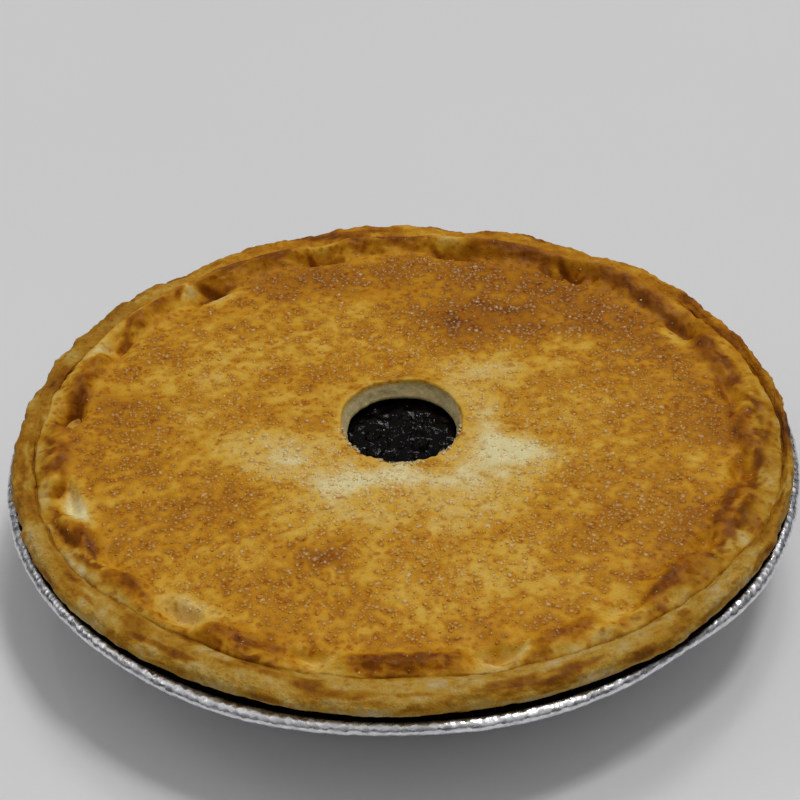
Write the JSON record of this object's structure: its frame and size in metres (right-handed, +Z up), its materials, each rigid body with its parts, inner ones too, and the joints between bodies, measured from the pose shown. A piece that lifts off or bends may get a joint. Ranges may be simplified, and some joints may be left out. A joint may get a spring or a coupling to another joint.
{
  "type": "blueberry pie",
  "caption": "Whole round two-crust blueberry pie in its shallow foil tin, with a thumbed rim, a sugared lid and a vent hole that shows the filling.",
  "frame": {"origin": "centre of the tin's base, on the surface the pie stands on", "axes": "+Z up, -Y towards the front of the picture, +X to its right"},
  "size_m": [0.245, 0.2448, 0.0448],
  "materials": {
    "foil": "bright, crinkled",
    "crust_edge": "baked pastry, matt to satin",
    "crust": "baked pastry with egg wash, satin",
    "filling": "wet, glossy"
  },
  "bodies": {
    "root": {"tin": "foil", "bottom_crust": "crust_edge", "blueberry_filling": "filling", "top_crust": "crust"}
  },
  "joints": []
}
